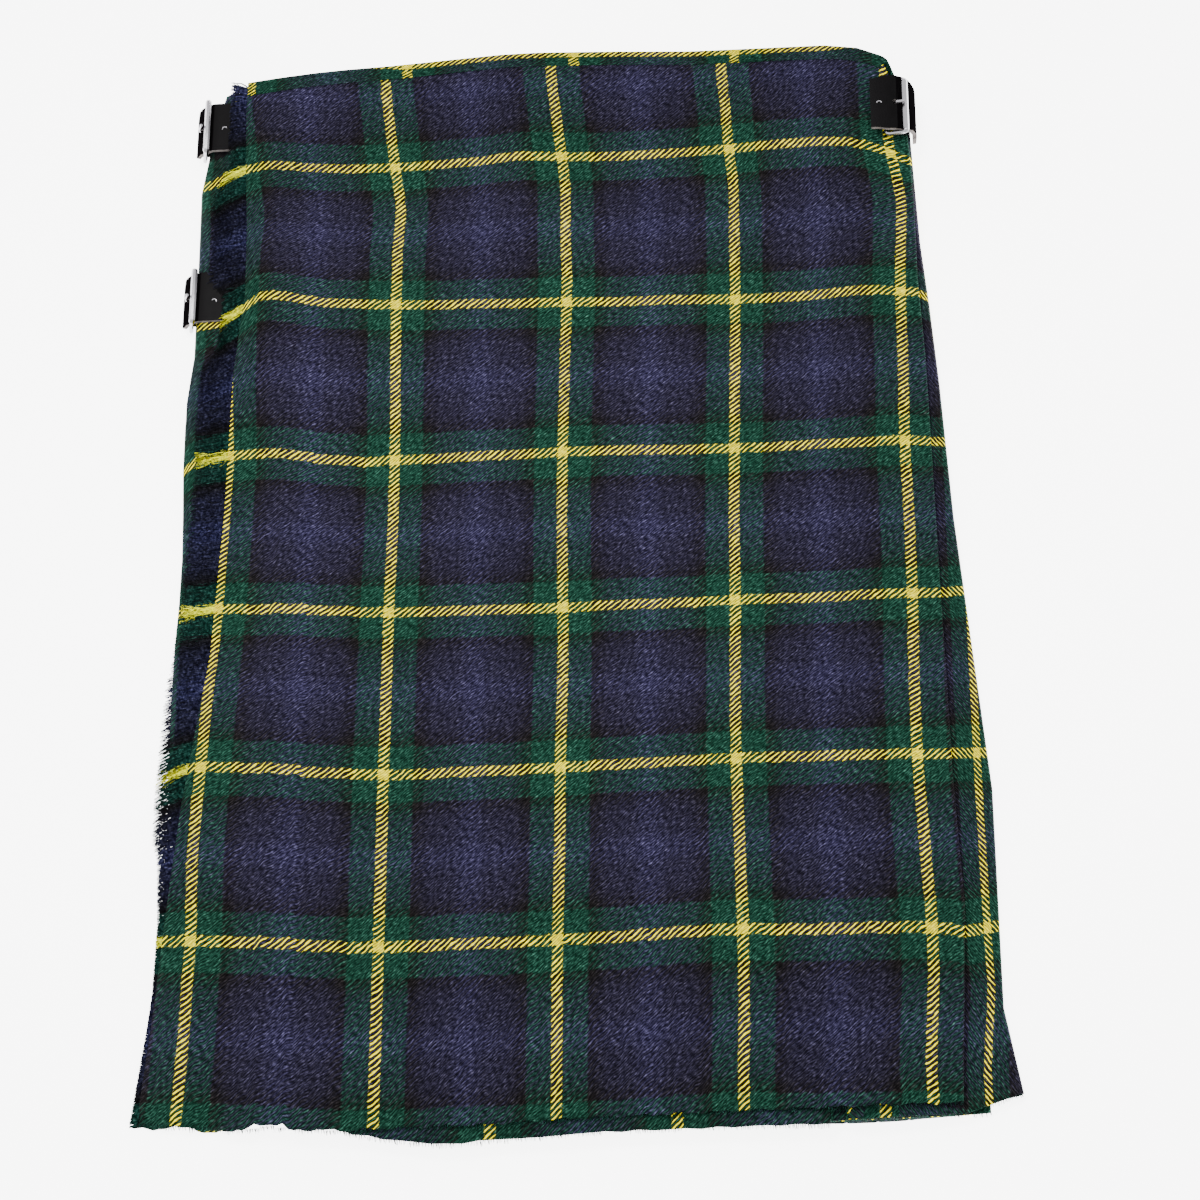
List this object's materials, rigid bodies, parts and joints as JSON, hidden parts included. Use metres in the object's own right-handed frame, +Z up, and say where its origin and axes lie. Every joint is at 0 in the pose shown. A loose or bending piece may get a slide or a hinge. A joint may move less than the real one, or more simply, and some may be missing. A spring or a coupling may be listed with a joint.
{
  "type": "kilt",
  "caption": "Pleated wool tartan kilt laid flat, front up: fringed over apron on an under apron and knife-pleated back, with leather straps buckled at the waist and hip.",
  "frame": {"origin": "on the flat underside, where the kilt rests, under a pleat half way between waist and hem", "axes": "+Y towards the waist, +Z up out of the front, +X towards the wearer's left, which is the right of a front view"},
  "size_m": [0.4494, 0.6208, 0.025],
  "materials": {
    "tartan": "wool twill in green, blue and black checks with yellow lines",
    "black_leather": "smooth, lightly polished",
    "steel": "polished plate"
  },
  "bodies": {
    "root": {"over_apron": "tartan", "under_apron": "tartan", "pleated_back": "tartan", "apron_fringe": "tartan", "waistband_front": "tartan", "waistband_under": "tartan", "waistband_back": "tartan", "strap_left_upper": "black_leather", "chape_left_upper": "black_leather", "buckle_left_upper": "steel", "prong_left_upper": "steel", "strap_left_lower": "black_leather", "chape_left_lower": "black_leather", "buckle_left_lower": "steel", "prong_left_lower": "steel", "strap_right": "black_leather", "chape_right": "black_leather", "buckle_right": "steel", "prong_right": "steel"}
  },
  "joints": []
}
